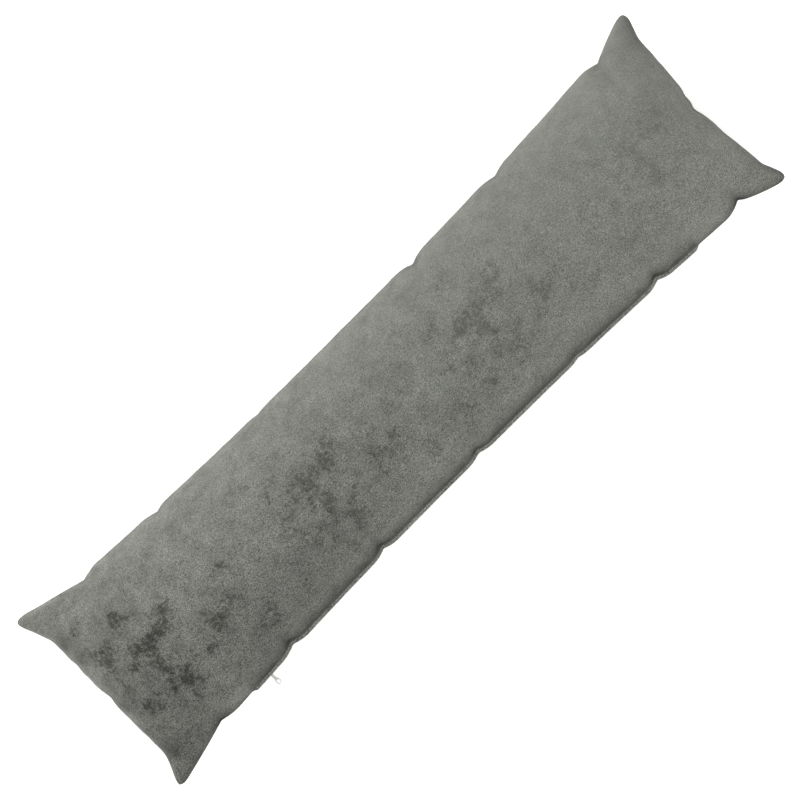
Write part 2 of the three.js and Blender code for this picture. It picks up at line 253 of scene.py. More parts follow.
# Place in plan of a point in the column at x, a share of the way out to the seam
def planPoint(x, share):
    side, end = signOf(share), signOf(x)
    tipY = quarterOf("longSeams", x, share)["tipY"]
    skew = pillow["endSkewStart"]
    out = max(0, abs(x) - skew) / (pillow["halfLength"] - skew)
    fromTip = pillow["halfLength"] - abs(x) + tipY * (1 - abs(share))
    pull = pillow["tipPull"] * max(0, 1 - fromTip / pillow["tipPullReach"]) ** 2
    planX = min(abs(x), skew) + out * (seamReach(end, share * tipY) - skew) - pull
    return end * planX, share * seamHalfWidth(x, side) - side * pull


def seamZ(x):
    return pillow["seamHeight"] - pillow["seamSag"] * (abs(x) / pillow["halfLength"]) ** pillow["sagPower"]


# 1 along the middle, 0 at the seam, less where a gather pulls the panel in
def fullness(x, share):
    toEnd = max(0, abs(x) - pillow["endStart"]) / (pillow["halfLength"] - pillow["endStart"])
    section = max(0, 1 - abs(share) ** pillow["sectionPower"]) ** pillow["sectionRoot"]
    ending = max(0, 1 - toEnd ** pillow["endPower"]) ** pillow["endRoot"]
    fromEar = abs(x) - quarterOf("longSeams", x, share)["earX"]
    earPull = pillow["earCreaseDepth"] * notch(fromEar, pillow["earDipReach"])
    deepest = max(pulls("longGathers", "side", signOf(share), "x", x) + [earPull])
    crease = pillow["creasePerDepth"] * deepest * abs(share) ** pillow["creaseFade"]
    return section * ending * (1 - crease)


# The floor presses the back flat, with a soft bend round the patch
def pressed(z, x):
    blend = pillow["floorBlend"]
    if z > blend:
        return z
    endRise = pillow["patchEndSlope"] * max(0, abs(x) - pillow["patchEnd"])
    return max(max(0, z + blend) ** 2 / (4 * blend), endRise)


def lapShare(x):
    inside = min(x - pillow["lapStart"], pillow["lapEnd"] - x)
    return min(1, max(0, inside / pillow["lapStep"]))


def pocketShare(x):
    return math.exp(-((x - pillow["sliderX"]) / pillow["pocketReach"]) ** 2)


def edgePoint(x, side, row):
    lap = lapShare(x) if side < 0 else 0
    out, up = pillow["plainEdge"][row]
    zipOut, zipUp = pillow["zipEdge"][row]
    zipUp += pocketShare(x) * (pillow["pocketLift"] if row < pillow["slitRow"] else -pillow["pocketDrop"])
    return out + (zipOut - out) * lap, up + (zipUp - up) * lap


# Share of the way out of a column's cell corner, from -1 at the zip edge to 1 at the plain edge
def shareAt(t, x):
    bunched = signOf(t) * (1 - (1 - abs(t)) ** pillow["cellsToSeam"])
    even = max(0, abs(x) - pillow["evenFrom"]) / (pillow["halfLength"] - pillow["evenFrom"])
    return bunched + (t - bunched) * even


# Noise along a seam, in a row of its own for each side, and for face and back where level tells them apart
def noiseAlong(distance, row, side, level=1):
    return noise.noise((distance, row[0] * side, row[1] * level))


def seamWave(x, y, share, endShare):
    length, fade = pillow["waveLength"], pillow["waveFade"]
    size = pillow["plainWave"] if share > 0 else pillow["zipWave"]
    wobble = noiseAlong(x / length, pillow["longWaveRow"], signOf(share))
    endWobble = noiseAlong(y / length, pillow["endWaveRow"], signOf(x))
    waveX = signOf(x) * pillow["endWave"] * endWobble * endShare ** fade
    return waveX, signOf(share) * size * wobble * abs(share) ** fade


# Columns along the pillow bunch at the gathers, ears, lap ends and slider
def columnPlaces():
    marks = [pillow["lapStart"], pillow["lapStart"] + pillow["lapStep"]]
    marks += [pillow["lapEnd"] - pillow["lapStep"], pillow["lapEnd"]]
    for g in pillow["longGathers"]:
        marks += [g["x"] + share * g["reach"] for share in pillow["gatherMarks"]]
    for row in pillow["longSeams"]:
        marks += [row["end"] * (row["earX"] + aside) for aside in pillow["earMarks"]]
    for back in pillow["tipMarks"]:
        marks += [pillow["halfLength"] - back, back - pillow["halfLength"]]
    marks += [pillow["sliderX"] + aside for aside in pillow["sliderMarks"]]
    places = [min(marks)]
    for mark in sorted(marks):
        gap = mark - places[-1]
        if gap >= pillow["shortestStep"]:
            steps = math.ceil(gap / pillow["longestStep"])
            start = places[-1]
            places += [start + gap * (step + 1) / steps for step in range(steps)]
    return places


# A block of panel grids and edge rows, 2 units wide, each point then moved to its place on the pillow
def pillowBlock(places):
    across, rows = pillow["cellsAcross"], len(pillow["plainEdge"]) - 1
    bm = bmesh.new()
    bmesh.ops.create_grid(bm, x_segments=len(places) - 1, y_segments=across, size=1)
    bmesh.ops.translate(bm, verts=bm.verts[:], vec=(0, 0, 1))
    back = bmesh.ops.duplicate(bm, geom=bm.faces[:])["geom"]
    bmesh.ops.translate(bm, verts=vertsOf(back), vec=(0, 0, -2))
    bmesh.ops.reverse_faces(bm, faces=facesOf(back))
    bmesh.ops.bridge_loops(bm, edges=[e for e in bm.edges if e.is_boundary])
    walls = [e for e in bm.edges if abs(e.verts[0].co.z - e.verts[1].co.z) > 1]
    bmesh.ops.subdivide_edges(bm, edges=walls, cuts=rows - 1, use_grid_fill=True)
    bmesh.ops.recalc_face_normals(bm, faces=bm.faces[:])
    names = ("along", "share", "sewn", "edgeRow")
    along, share, sewn, edgeRow = [bm.verts.layers.float.new(name) for name in names]
    last = len(places) - 1
    top, low = pillow["plainEdge"][0][1], pillow["plainEdge"][-1][1]
    for v in bm.verts:
        i = round((v.co.x + 1) / 2 * last)
        j = round((v.co.y + 1) / 2 * across)
        k = round((1 - v.co.z) / 2 * rows)
        v[along] = places[i]
        v[share] = shareAt(2 * j / across - 1, v[along])
        onLong, onShort = j in (0, across), i in (0, last)
        planX, planY = planPoint(v[along], v[share])
        waveX, waveY = seamWave(planX, planY, v[share], abs(v[along]) / pillow["halfLength"])
        planX += waveX
        planY += waveY
        height = seamZ(v[along])
        if onLong or onShort:
            side = signOf(v[share])
            out, up = edgePoint(v[along], side if onLong else 1, k)
            planX += signOf(planX) * out if onShort else 0
            planY += side * out if onLong else 0
            height += up
            v[sewn] = 1
            v[edgeRow] = k
        else:
            v[edgeRow] = -1
            bulge = fullness(v[along], v[share])
            if k == 0:
                height += top + pillow["crownRise"] * bulge
            else:
                height = pressed(height + low - pillow["bellyDrop"] * bulge, v[along])
        v.co = Vector((planX, planY, height)) * mm
    return bm


# Filling: Blender's cloth swells the panels between their seams, which stay where they are sewn
filling = {
    "frames": 20,
    "pressure": 4,
    "slack": 0.006,  # share by which the panels are cut larger than the form
    "mostMove": 9,  # cap on how far a point may move
    "cloth": {
        "quality": 6, "mass": 0.3, "air_damping": 2, "tension_stiffness": 40, "compression_stiffness": 40,
        "shear_stiffness": 15, "bending_stiffness": 0.8,
    },
}


def swell(obj):
    scene = bpy.context.scene
    pinned = obj.vertex_groups.new(name="sewnEdge")
    sewn = obj.data.attributes["sewn"].data
    pinned.add([i for i, item in enumerate(sewn) if item.value], 1, "REPLACE")
    cloth = obj.modifiers.new("filling", "CLOTH")
    for name, value in filling["cloth"].items():
        setattr(cloth.settings, name, value)
    cloth.settings.vertex_group_mass = pinned.name
    cloth.settings.use_pressure = True
    cloth.settings.uniform_pressure_force = filling["pressure"]
    cloth.settings.shrink_min = -filling["slack"]
    cloth.settings.effector_weights.gravity = 0
    cloth.collision_settings.use_collision = False
    cloth.point_cache.frame_end = filling["frames"]
    for step in range(1, filling["frames"] + 1):
        scene.frame_set(step)
    swollen = obj.evaluated_get(bpy.context.evaluated_depsgraph_get())
    moved = [v.co.copy() for v in swollen.data.vertices]
    obj.modifiers.remove(cloth)
    scene.frame_set(1)
    along = obj.data.attributes["along"].data
    cap = filling["mostMove"] * mm
    furthest = 0
    for v, target in zip(obj.data.vertices, moved):
        move = target - v.co
        furthest = max(furthest, move.length)
        v.co += move.normalized() * cap * math.tanh(move.length / cap)
        if v.co.z < pillow["floorBlend"] / 2 * mm:
            v.co.z = pressed(v.co.z / mm, along[v.index].value) * mm
    obj.data.update()
    print("filling swelled the cover, furthest free move", round(furthest / mm, 1), "mm")


# Puckers: short creases that fan out from each gather, and shallow ones all along the seams
puckers = {
    "lines": [  # lean from straight in, length, depth, width
        (-0.75, 46, 1.1, 6), (-0.3, 62, 1.5, 6.5), (0.12, 50, 1.2, 6), (0.55, 58, 1.4, 6.5),
        (0.95, 36, 0.9, 6),
    ],
    "depthOfGather": 5,  # a gather this deep has the depths above
    "earLines": [(-0.5, 80, 1.6, 9), (0.1, 95, 2.2, 10), (0.6, 70, 1.5, 9)],
    "lineStart": 8,  # a crease reaches its depth this far from the seam
    "startWidth": 0.6,  # and grows wider from this share of its width
    "longReach": 90,  # fans reach this far to the side of a long gather
    "endReach": 120,  # and this far in from a short seam
    # A fold that runs beside the short seam into the ear's tip
    "earFold": {"in": 17, "width": 7, "depth": 2.2, "length": 60, "endPower": 4},
    "seamDepth": 0.8,
    "seamMean": 0.5,  # of the ripples along a seam, which swing to both sides of it
    "seamLength": 16,
    "seamPitch": 13,
    "longRippleRow": (4.7, 2.9),
    "endRippleRow": (8.3, 6.1),
    "fillDepth": 2.0,  # lumps of the filling
    "fillSize": 120,
    "fillFrom": 60,  # they fade out within this distance of a seam
}


# Depth of a fan of creases at a point this far along the seam and in from it
def fanDepth(lines, dx, inward):
    depth = 0
    for lean, length, deep, width in lines:
        onward = inward * math.cos(lean) + dx * math.sin(lean)
        aside = dx * math.cos(lean) - inward * math.sin(lean)
        if 0 < onward < 2 * length:
            rise = min(1, onward / puckers["lineStart"])
            spread = width * (puckers["startWidth"] + onward / length)
            depth += deep * rise * math.exp(-(onward / length) ** 2 - (aside / spread) ** 2)
    return depth


def addPuckers(obj):
    along, share, sewn = (obj.data.attributes[name].data for name in ("along", "share", "sewn"))
    obj.data.update()
    normals = [v.normal.copy() for v in obj.data.vertices]
    pitch, length, fold = (puckers[key] for key in ("seamPitch", "seamLength", "earFold"))
    lines, usual = puckers["lines"], puckers["depthOfGather"]
    for v, normal in zip(obj.data.vertices, normals):
        x, y, z = v.co / mm
        onFloor = z < 2 * pillow["floorBlend"]
        if sewn[v.index].value or onFloor:
            continue
        column = along[v.index].value
        side, end = signOf(share[v.index].value), signOf(x)
        above = z - seamZ(column)
        toLong = math.hypot(seamHalfWidth(column, side) - abs(y), above)
        toEnd = math.hypot(seamReach(end, y) - abs(x), above)
        depth = 0
        for g in pillow["longGathers"]:
            if g["side"] == side and abs(x - g["x"]) < puckers["longReach"]:
                depth += g["depth"] / usual * fanDepth(lines, x - g["x"], toLong)
        for g in pillow["shortGathers"]:
            if g["end"] == end and toEnd < puckers["endReach"]:
                depth += g["depth"] / usual * fanDepth(lines, y - g["y"], toEnd)
        ear = quarterOf("longSeams", x, y)
        depth += fanDepth(puckers["earLines"], ear["earX"] - abs(x), toLong)
        fromTip = (ear["tipY"] - abs(y)) / fold["length"]
        acrossFold = (toEnd - fold["in"]) / fold["width"]
        depth += fold["depth"] * math.exp(-acrossFold ** 2 - fromTip ** fold["endPower"])
        ripple = noiseAlong(x / pitch, puckers["longRippleRow"], side, signOf(above))
        depth += puckers["seamDepth"] * (puckers["seamMean"] + ripple) * math.exp(-toLong / length)
        endRipple = noiseAlong(y / pitch, puckers["endRippleRow"], end, signOf(above))
        depth += puckers["seamDepth"] * (puckers["seamMean"] + endRipple) * math.exp(-toEnd / length)
        inner = min(1, toLong / puckers["fillFrom"]) * min(1, toEnd / puckers["fillFrom"])
        depth += inner * puckers["fillDepth"] * noise.noise(v.co / (puckers["fillSize"] * mm))
        v.co -= normal * depth * mm
    print("puckers at", len(pillow["longGathers"]) + len(pillow["shortGathers"]), "gathers and 4 ears")


# Pile crushed in patches: one group of patches that the cloth repeats, fading along the pillow
crush = {
    "pitch": 375.5,
    "lift": 3.5,  # the cloth runs a little askew: each group lies this much nearer the plain edge
    "firstX": -586,
    "before": 150,  # a group starts this far before its middle
    "fade": {"from": -600, "to": 560, "strongest": 1.0, "weakest": 0.28},
    "patches": [  # along and across from the group's middle, size, depth
        (0, 13, 15, 0.9), (12, 9, 14, 0.9), (-22, 2, 9, 0.8), (-15, 22, 9, 0.7), (2, 26, 10, 0.5),
        (12, -8, 11, 0.7), (15, -26, 13, 0.9), (12, -38, 12, 0.8), (6, -52, 11, 0.9), (-3, -16, 9, 0.6),
        (21, -70, 13, 0.9), (28, -80, 13, 0.8), (38, -62, 9, 0.9), (40, -88, 9, 0.6), (-1, -71, 8, 0.8),
        (41, 14, 12, 0.9), (52, 9, 12, 0.8), (63, 7, 11, 0.8), (60, 22, 13, 0.6), (25, 19, 9, 0.7),
        (73, 34, 13, 0.9), (91, 42, 12, 0.6), (50, 40, 10, 0.5), (83, 26, 9, 0.6), (36, 44, 8, 0.45),
        (81, -65, 9, 0.8), (92, -66, 8, 0.6), (106, -66, 11, 0.6), (55, -54, 8, 0.5), (62, -48, 7, 0.5),
        (118, -33, 12, 0.7), (116, -47, 13, 0.8), (116, -20, 9, 0.5), (130, -44, 10, 0.6),
        (138, -46, 13, 0.85), (153, -31, 11, 0.8), (158, -38, 9, 0.6), (169, -31, 9, 0.6),
        (157, -58, 8, 0.45), (156, -72, 8, 0.4), (189, 17, 9, 0.7), (200, -85, 12, 0.6),
        (190, -108, 16, 0.4), (167, -73, 9, 0.5), (140, -5, 12, 0.3), (8, 84, 9, 0.3), (1, 72, 11, 0.35),
        (15, 65, 10, 0.3), (27, 66, 8, 0.25), (-37, 52, 12, 0.3), (-50, 52, 9, 0.3), (-54, 38, 12, 0.55),
        (-46, -74, 16, 0.4), (-53, -58, 14, 0.35), (-60, -68, 9, 0.25), (-27, -58, 8, 0.55),
        (-62, -38, 18, 0.45), (13, -104, 10, 0.6), (-12, -108, 10, 0.6), (30, -106, 9, 0.45),
        (-22, -86, 10, 0.45), (-35, -93, 12, 0.5), (48, -100, 9, 0.45), (-15, -27, 8, 0.5),
        (-37, -2, 9, 0.6), (-62, 22, 11, 0.35), (-62, -5, 11, 0.35), (-63, 109, 9, 0.15), (-68, 70, 10, 0.4),
        (-96, -84, 14, 0.5), (-110, -100, 15, 0.45), (-90, -100, 13, 0.45), (-76, -30, 10, 0.4),
        (5, -10, 80, 0.12), (140, -40, 60, 0.1),
    ],
    # Patches much deeper in the first group, by their place on the pillow, and painted shade of the fold into
    # an ear
    "firstOnly": [
        (-578, 84, 9, 0.65), (-585, 72, 11, 0.5), (-571, 65, 10, 0.55), (-559, 66, 8, 0.3),
        (-624, 52, 12, 0.85), (-637, 51, 12, 0.8), (-641, 40, 13, 0.75), (-648, 56, 10, 0.6),
        (-630, 30, 9, 0.5), (-652, 30, 11, 0.5), (-649, 109, 9, 0.65), (-632, -74, 12, 0.8),
        (-639, -58, 11, 0.65), (-646, -68, 9, 0.4), (-386, -85, 12, 0.35), (-398, -106, 16, 0.4),
        (-412, -92, 13, 0.4), (-422, -108, 12, 0.35),
        # Painted shade of the fold into the -X zip-side ear and of its tip's rim
        (-667, -141, 9, 0.6), (-675, -157, 7, 0.55), (-685, -170, 6, 0.5),
    ],
    "rubbedAndShaded": [  # wide stretches where the nap lies darker, or paler below 0
        (-605, -75, 95, 0.23), (-640, -150, 70, 0.3), (-590, 25, 80, 0.12), (-425, -85, 95, 0.27),
        (-300, -90, 75, 0.2), (-200, -75, 80, 0.16), (-95, -60, 70, 0.1), (-190, 15, 70, 0.08),
        (60, -85, 55, 0.12), (190, -25, 70, 0.06), (400, 20, 85, 0.05), (560, -40, 150, -0.04),
        # (-675, -138) is painted shade of the fold into the -X zip-side ear
        (-675, -138, 18, 0.48), (-672, 108, 16, 0.46), (-668, 71, 16, 0.38), (-668, 4, 16, 0.2),
        (-671, -33, 18, 0.4), (-575, 82, 45, 0.1), (-40, 8, 60, 0.1), (20, 60, 90, 0.05),
        (140, -45, 45, 0.07), (630, -100, 70, -0.13), (400, -115, 60, -0.03),
    ],
    "spotReach": 3,  # a spot ends at this many times its size
    "mostRubbed": 0.6,
    "back": 0.15,
    # Painted shade in the crease beside the lap, painted highlights on the lap's ridges and shade in its
    # groove
    "seamShade": 0.05,
    "seamReach": 30,
    "seamPower": 1.5,
    "lapShades": [0.5, 1.5, 0.8, 1.6, 1.5, 1.0],
    # Painted shade on the plain seams' rims, turned from the main lamp, on the zip side's ears and at the +X
    # end
    "earShade": 0.3,
    "earReach": 7,
    "footShade": 0.25,  # painted shade, darker still in the fold at the foot of the ear
    "footReach": 11,
    "footLength": 24,
    "endShade": 0.35,
    "endReach": 7,
}


# Soft round spots at a point, laid over each other
def spotsAt(spots, x, y):
    clear = 1
    for along, across, size, depth in spots:
        apart = ((x - along) ** 2 + (y - across) ** 2) / size ** 2
        if apart < crush["spotReach"] ** 2:
            clear *= 1 - depth * math.exp(-apart)
    return 1 - clear


# Place of a point within its group, and how crushed the pile is there
def crushAt(x, y):
    along = x - crush["firstX"]
    group = math.floor((along + crush["before"]) / crush["pitch"])
    repeated = spotsAt(crush["patches"], along - group * crush["pitch"], y - group * crush["lift"])
    return 1 - (1 - repeated) * (1 - spotsAt(crush["firstOnly"], x, y))


def markCrush(obj):
    obj.data.attributes.new("crush", "FLOAT", "POINT")
    along, marks = (obj.data.attributes[name].data for name in ("along", "crush"))
    for v in obj.data.vertices:
        x, y, z = v.co / mm
        above = z > seamZ(along[v.index].value)
        marks[v.index].value = crushAt(x, y) if above else crush["back"]


# Painted shade beside the lap, round the zip side's ears and along the +X end, painted highlights on the lap
def markShade(obj):
    obj.data.attributes.new("shade", "FLOAT", "POINT")
    names = ("along", "share", "edgeRow", "shade")
    along, share, edgeRow, shades = (obj.data.attributes[name].data for name in names)
    for v in obj.data.vertices:
        i = v.index
        x, y, z = v.co / mm
        column, row = along[i].value, round(edgeRow[i].value)
        above = z - seamZ(column)
        shade = 1
        # Painted highlights and shade on the lap's rows, painted shade in the crease beside the lap
        if row >= 0 and share[i].value <= -1:
            shade = crush["lapShades"][row] if row < len(crush["lapShades"]) else 1
        elif above > 0:
            inward = math.hypot(seamHalfWidth(column, -1) + y, above) / crush["seamReach"]
            shade = 1 - (1 - crush["seamShade"]) * math.exp(-inward ** crush["seamPower"])
        # Painted shade on the rims of the zip side's ears and the +X end, and in the fold at each ear's foot
        toEar = max(0, seamHalfWidth(column, -1) + y)
        toEnd = max(0, seamReach(1, y) - x)
        rim = 1 - (1 - lapShare(column)) * (1 - crush["earShade"]) * math.exp(-toEar / crush["earReach"])
        rim *= 1 - (1 - crush["endShade"]) * math.exp(-toEnd / crush["endReach"])
        fromFoot = (abs(x) - quarterOf("longSeams", x, -1)["earX"]) / crush["footLength"]
        rim *= 1 - (1 - crush["footShade"]) * math.exp(-fromFoot ** 2 - toEar / crush["footReach"])
        # Darker or paler nap in wide stretches, with painted shade of the fold into the -X zip-side ear
        rubbedAndShaded = spotsAt(crush["rubbedAndShaded"], x, y) if above > 0 else 0
        wornAndShaded = 1 - min(crush["mostRubbed"], rubbedAndShaded)
        shades[i].value = (1 + (shade - 1) * lapShare(column)) * rim * wornAndShaded


velour = {
    "brushed": "#666762",
    "crushed": "#3e3f3a",
    "noises": {  # size in mm and settings
        "tips": (0.6, {"Detail": 1}),  # the real pile is 0.3 mm, drawn coarser so that it shows
        "grain": (2, {"Detail": 2}),  # tufts of pile that lie together
        "tuft": (7, {"Detail": 4, "Roughness": 0.65}),
        "blotch": (25, {"Detail": 5, "Roughness": 0.6, "Distortion": 0.3}),
        "cloud": (85, {"Detail": 2}),
    },
    "pileLay": (1, 0.45, 1),  # tips drawn out towards the plain edge, the way the nap is brushed
    "pileSwing": 0.9,
    "grainSwing": 2.5,  # of the grain's light and dark, in the middle of the pillow
    "grainLean": (-0.9, -5.7, 0),  # change of that swing for each metre along, across and up
    "mottle": {"strongest": 1.05, "weakest": 0.45},  # of lighter and darker nap, fading as the patches do
    "cloudShare": 0.5,
    "broken": 1.2,  # how strongly blotches break up the patches
    "ragged": 2.8,  # and tufts
    "crushFrom": 0.2,  # patch and noise together, where the pile starts to be crushed
    "crushTo": 1.15,
    "tipHeight": 0.4,  # of the grain's height
    "pileDepth": 0.8,
    "sheen": {"Sheen Weight": 0.22, "Sheen Roughness": 0.4, "Sheen Tint": linear("#d9dacf")},
}


# Cut-pile polyester velour: dull straight on, pale where its pile is seen from the side, darker where crushed
def velourMaterial():
    material, tree = newMaterial("cutPileVelour")
    coords = addNode(tree, "TexCoord", out="Object")
    # The crush attribute: crushed pile, with painted shade of the fold into the -X zip-side ear
    crushed = addNode(tree, "Attribute", out="Fac", attribute_name="crush")
    seamShade = addNode(tree, "Attribute", out="Fac", attribute_name="shade")
    laid = addNode(tree, "VectorMath", [coords, velour["pileLay"]], operation="MULTIPLY")
    field = {}
    for name, (size, settings) in velour["noises"].items():
        inputs = {"Vector": laid if name == "tips" else coords, "Scale": 1 / (size * mm), **settings}
        field[name] = addNode(tree, "TexNoise", inputs)
    # Patches and mottle both fade along the pillow
    along = addNode(tree, "SeparateXYZ", [coords], out="X")
    fade = crush["fade"]
    span = {"Value": along, "From Min": fade["from"] * mm, "From Max": fade["to"] * mm}
    fading, lively = (addNode(tree, "MapRange", {**span, "To Min": e["strongest"], "To Max": e["weakest"]})
                      for e in (fade, velour["mottle"]))
    # Crushed where the mask and the noise together pass a soft threshold
    level = crushed
    for name, swing in (("blotch", velour["broken"]), ("tuft", velour["ragged"])):
        around = addNode(tree, "Math", [field[name], swing, -swing / 2], operation="MULTIPLY_ADD")
        level = addNode(tree, "Math", [level, around], operation="ADD")
    depth = addNode(tree, "MapRange", {"Value": level, "From Min": velour["crushFrom"],
                                       "From Max": velour["crushTo"], "To Max": fading},
                    interpolation_type="SMOOTHSTEP")
    pile = addNode(tree, "Mix", {0: depth, 6: linear(velour["brushed"]), 7: linear(velour["crushed"])}, out=2,
                   data_type="RGBA")
    # Grain of the pile, which shows most towards the zip edge, and soft clouds of lighter and darker nap
    lean = addNode(tree, "VectorMath", [coords, velour["grainLean"]], out="Value", operation="DOT_PRODUCT")
    swing = addNode(tree, "Math", [lean, velour["grainSwing"]], operation="ADD")
    centred = addNode(tree, "Math", [field["grain"], 0.5], operation="SUBTRACT")
    speck = addNode(tree, "Math", [centred, swing, 1], operation="MULTIPLY_ADD")
    share = velour["cloudShare"]
    clouds = addNode(tree, "Math", [field["cloud"], share, (1 - share) / 2], operation="MULTIPLY_ADD")
    uneven = addNode(tree, "Math", [clouds, field["blotch"]], operation="SUBTRACT")
    mottle = addNode(tree, "Math", [uneven, lively, 1], operation="MULTIPLY_ADD")
    upright = addNode(tree, "Math", [field["tips"], 0.5], operation="SUBTRACT")
    tone = addNode(tree, "Math", [upright, velour["pileSwing"], 1], operation="MULTIPLY_ADD")
    # seamShade is the shade attribute: painted shade beside the lap, round the ears and the +X end, painted
    # highlights on the lap, and darker or paler nap
    for factor in (speck, mottle, seamShade):
        tone = addNode(tree, "Math", [tone, factor], operation="MULTIPLY")
    nap = addNode(tree, "Math", [field["tips"], velour["tipHeight"], field["grain"]],
                  operation="MULTIPLY_ADD")
    bump = addNode(tree, "Bump", {"Height": nap, "Strength": 0.5, "Distance": velour["pileDepth"] * mm})
    finishMaterial(tree, pile, tone, {"Roughness": 0.95, "Specular IOR Level": 0.15, "Normal": bump,
                                      **velour["sheen"]})
    return material


def makePillow():
    places = columnPlaces()
    obj = meshObject("throwPillow", pillowBlock(places), [velourMaterial()])
    print("cover:", len(places), "columns,", len(obj.data.polygons), "faces")
    swell(obj)
    addPuckers(obj)
    markShade(obj)
    smooth = obj.modifiers.new("cloth", "SUBSURF")
    smooth.levels = smooth.render_levels = 1
    finer = applyModifiers(obj)
    markCrush(obj)
    print("cover made finer:", len(finer.polygons), "faces,", len(crush["patches"]), "patches in each group")
    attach(obj, "root")
    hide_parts("pillow")


# A row of one small shape repeated from start to end, each point put in place by place(along, aside, up)
def repeatedRow(name, bm, start, end, pitch, place, materials):
    obj = meshObject(name, bm, materials)
    row = obj.modifiers.new("row", "ARRAY")
    row.count = int((end - start) / pitch)
    row.use_relative_offset = False
    row.use_constant_offset = True
    row.constant_offset_displace = (pitch, 0, 0)
    mesh = applyModifiers(obj)
    for v in mesh.vertices:
        v.co = place(start + v.co.x, v.co.y, v.co.z) * mm
    mesh.update()
    return obj


# Place beside a seam point, turned with the seam: out from it and above it, in millimetres
def besideSeam(x, out, up):
    reach = 5  # the heading is taken over this much to both sides
    here, back, on = (Vector(planPoint(x + aside, -1)) for aside in (0, -reach, reach))
    heading = (on - back).normalized()
    outward = Vector((heading.y, -heading.x))
    plan = here + outward * out
    return Vector((plan.x, plan.y, seamZ(x) + up))


# Scale at which a wave texture, which repeats every pi/10 units, has this pitch
def waveScale(pitch):
    return math.pi / 10 / (pitch * mm)


# Coil zip: two rows of nylon turns that mesh in the middle, sewn to woven tape on the slit's floor
zipCoil = {
    "start": -496,
    "end": 489,
    "pitch": 1.35,
    "out": -0.7,  # middle of the coil, from the seam
    "up": -3.45,
    "turnLength": 3.1,
    "turnWidth": 0.62,
    "turnHeight": 1.4,
    "turnRounding": 0.26,
    "overlap": 0.8,  # of the two rows
    "tapeWidth": 6.2,
    "tapeThick": 0.26,
    "tapeGap": 0.05,  # below the turns
    "tapeIn": 1,  # further into the slit than the coil
    "tapeStep": 5,
    "nylon": "#5b5d57",
    "tape": "#4c4e48",
    "dyeSize": 9,
    "threadPitch": 0.7,  # mm; real threads are half as wide, drawn coarser so that they show
    "threadDepth": 0.15,
}


# Drawn nylon monofilament: smooth and a little glossy, its dye slightly uneven
def nylonMaterial():
    material, tree = newMaterial("nylonMonofilament")
    coords = addNode(tree, "TexCoord", out="Object")
    dye = addNode(tree, "TexNoise", {"Vector": coords, "Scale": 1 / (zipCoil["dyeSize"] * mm), "Detail": 3})
    tone = addNode(tree, "MapRange", {"Value": dye, **noiseSpan, "To Min": 0.85, "To Max": 1.12})
    finishMaterial(tree, linear(zipCoil["nylon"]), tone, {"Roughness": 0.38, "IOR": 1.53})
    return material


# Woven polyester tape: matt, with fine ribs along and across
def tapeMaterial():
    material, tree = newMaterial("wovenPolyesterTape")
    coords = addNode(tree, "TexCoord", out="Object")
    ribs = {"Vector": coords, "Scale": waveScale(zipCoil["threadPitch"])}
    warp, weft = (addNode(tree, "TexWave", ribs, out="Fac", bands_direction=way) for way in ("Y", "X"))
    weave = addNode(tree, "Math", [warp, weft], operation="MULTIPLY")
    tone = addNode(tree, "MapRange", {"Value": weave, "To Min": 0.7, "To Max": 1.2})
    bump = addNode(tree, "Bump", {"Height": weave, "Strength": 0.6, "Distance": zipCoil["threadDepth"] * mm})
    finishMaterial(tree, linear(zipCoil["tape"]), tone, {"Roughness": 0.85, "Normal": bump})
    return material


def makeZipCoil():
    # One turn of each row, the second half a pitch on
    bm = bmesh.new()
    size = (zipCoil["turnWidth"], zipCoil["turnLength"], zipCoil["turnHeight"])
    for side, step in ((1, 0.25), (-1, 0.75)):
        aside = side * (zipCoil["turnLength"] - zipCoil["overlap"]) / 2
        addBox(bm, size, (step * zipCoil["pitch"], aside, 0))
    across = [e for e in bm.edges if abs(e.verts[0].co.y - e.verts[1].co.y) > zipCoil["turnLength"] / 2]
    roundEdges(bm, across, zipCoil["turnRounding"], segments=2)

    def coilPlace(along, aside, up):
        return besideSeam(along, zipCoil["out"] - aside, zipCoil["up"] + up)

    coil = repeatedRow("zipCoil", bm, zipCoil["start"], zipCoil["end"], zipCoil["pitch"], coilPlace,
                       [nylonMaterial(), tapeMaterial()])
    # The tape is one thin strip under the turns, bent along the same seam
    length = zipCoil["end"] - zipCoil["start"]
    middle = zipCoil["start"] + length / 2
    under = -zipCoil["turnHeight"] / 2 - zipCoil["tapeGap"]
    tape = bmesh.new()
    bmesh.ops.create_grid(tape, x_segments=int(length / zipCoil["tapeStep"]), y_segments=1, size=0.5)
    bmesh.ops.scale(tape, verts=tape.verts[:], vec=(length, zipCoil["tapeWidth"], 1))
    bmesh.ops.solidify(tape, geom=tape.faces[:], thickness=zipCoil["tapeThick"])
    for v in tape.verts:
        v.co = coilPlace(middle + v.co.x, v.co.y + zipCoil["tapeIn"], v.co.z + under) * mm
    bmesh.ops.recalc_face_normals(tape, faces=tape.faces[:])
    for f in tape.faces:
        f.material_index = 1
    tape.from_mesh(coil.data)
    tape.to_mesh(coil.data)
    tape.free()
    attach(coil, "root")
    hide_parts("zip_chain")
    print("zip coil:", len(coil.data.polygons), "faces")


# Topstitching that holds the lap down, in its groove
lapStitches = {
    "pitch": 3.4,
    "length": 2.7,
    "thread": 0.5,
    "out": 2.6,
    "up": 0.95,
    "colour": "#6a6b64",
    "twistPitch": 0.5,
}


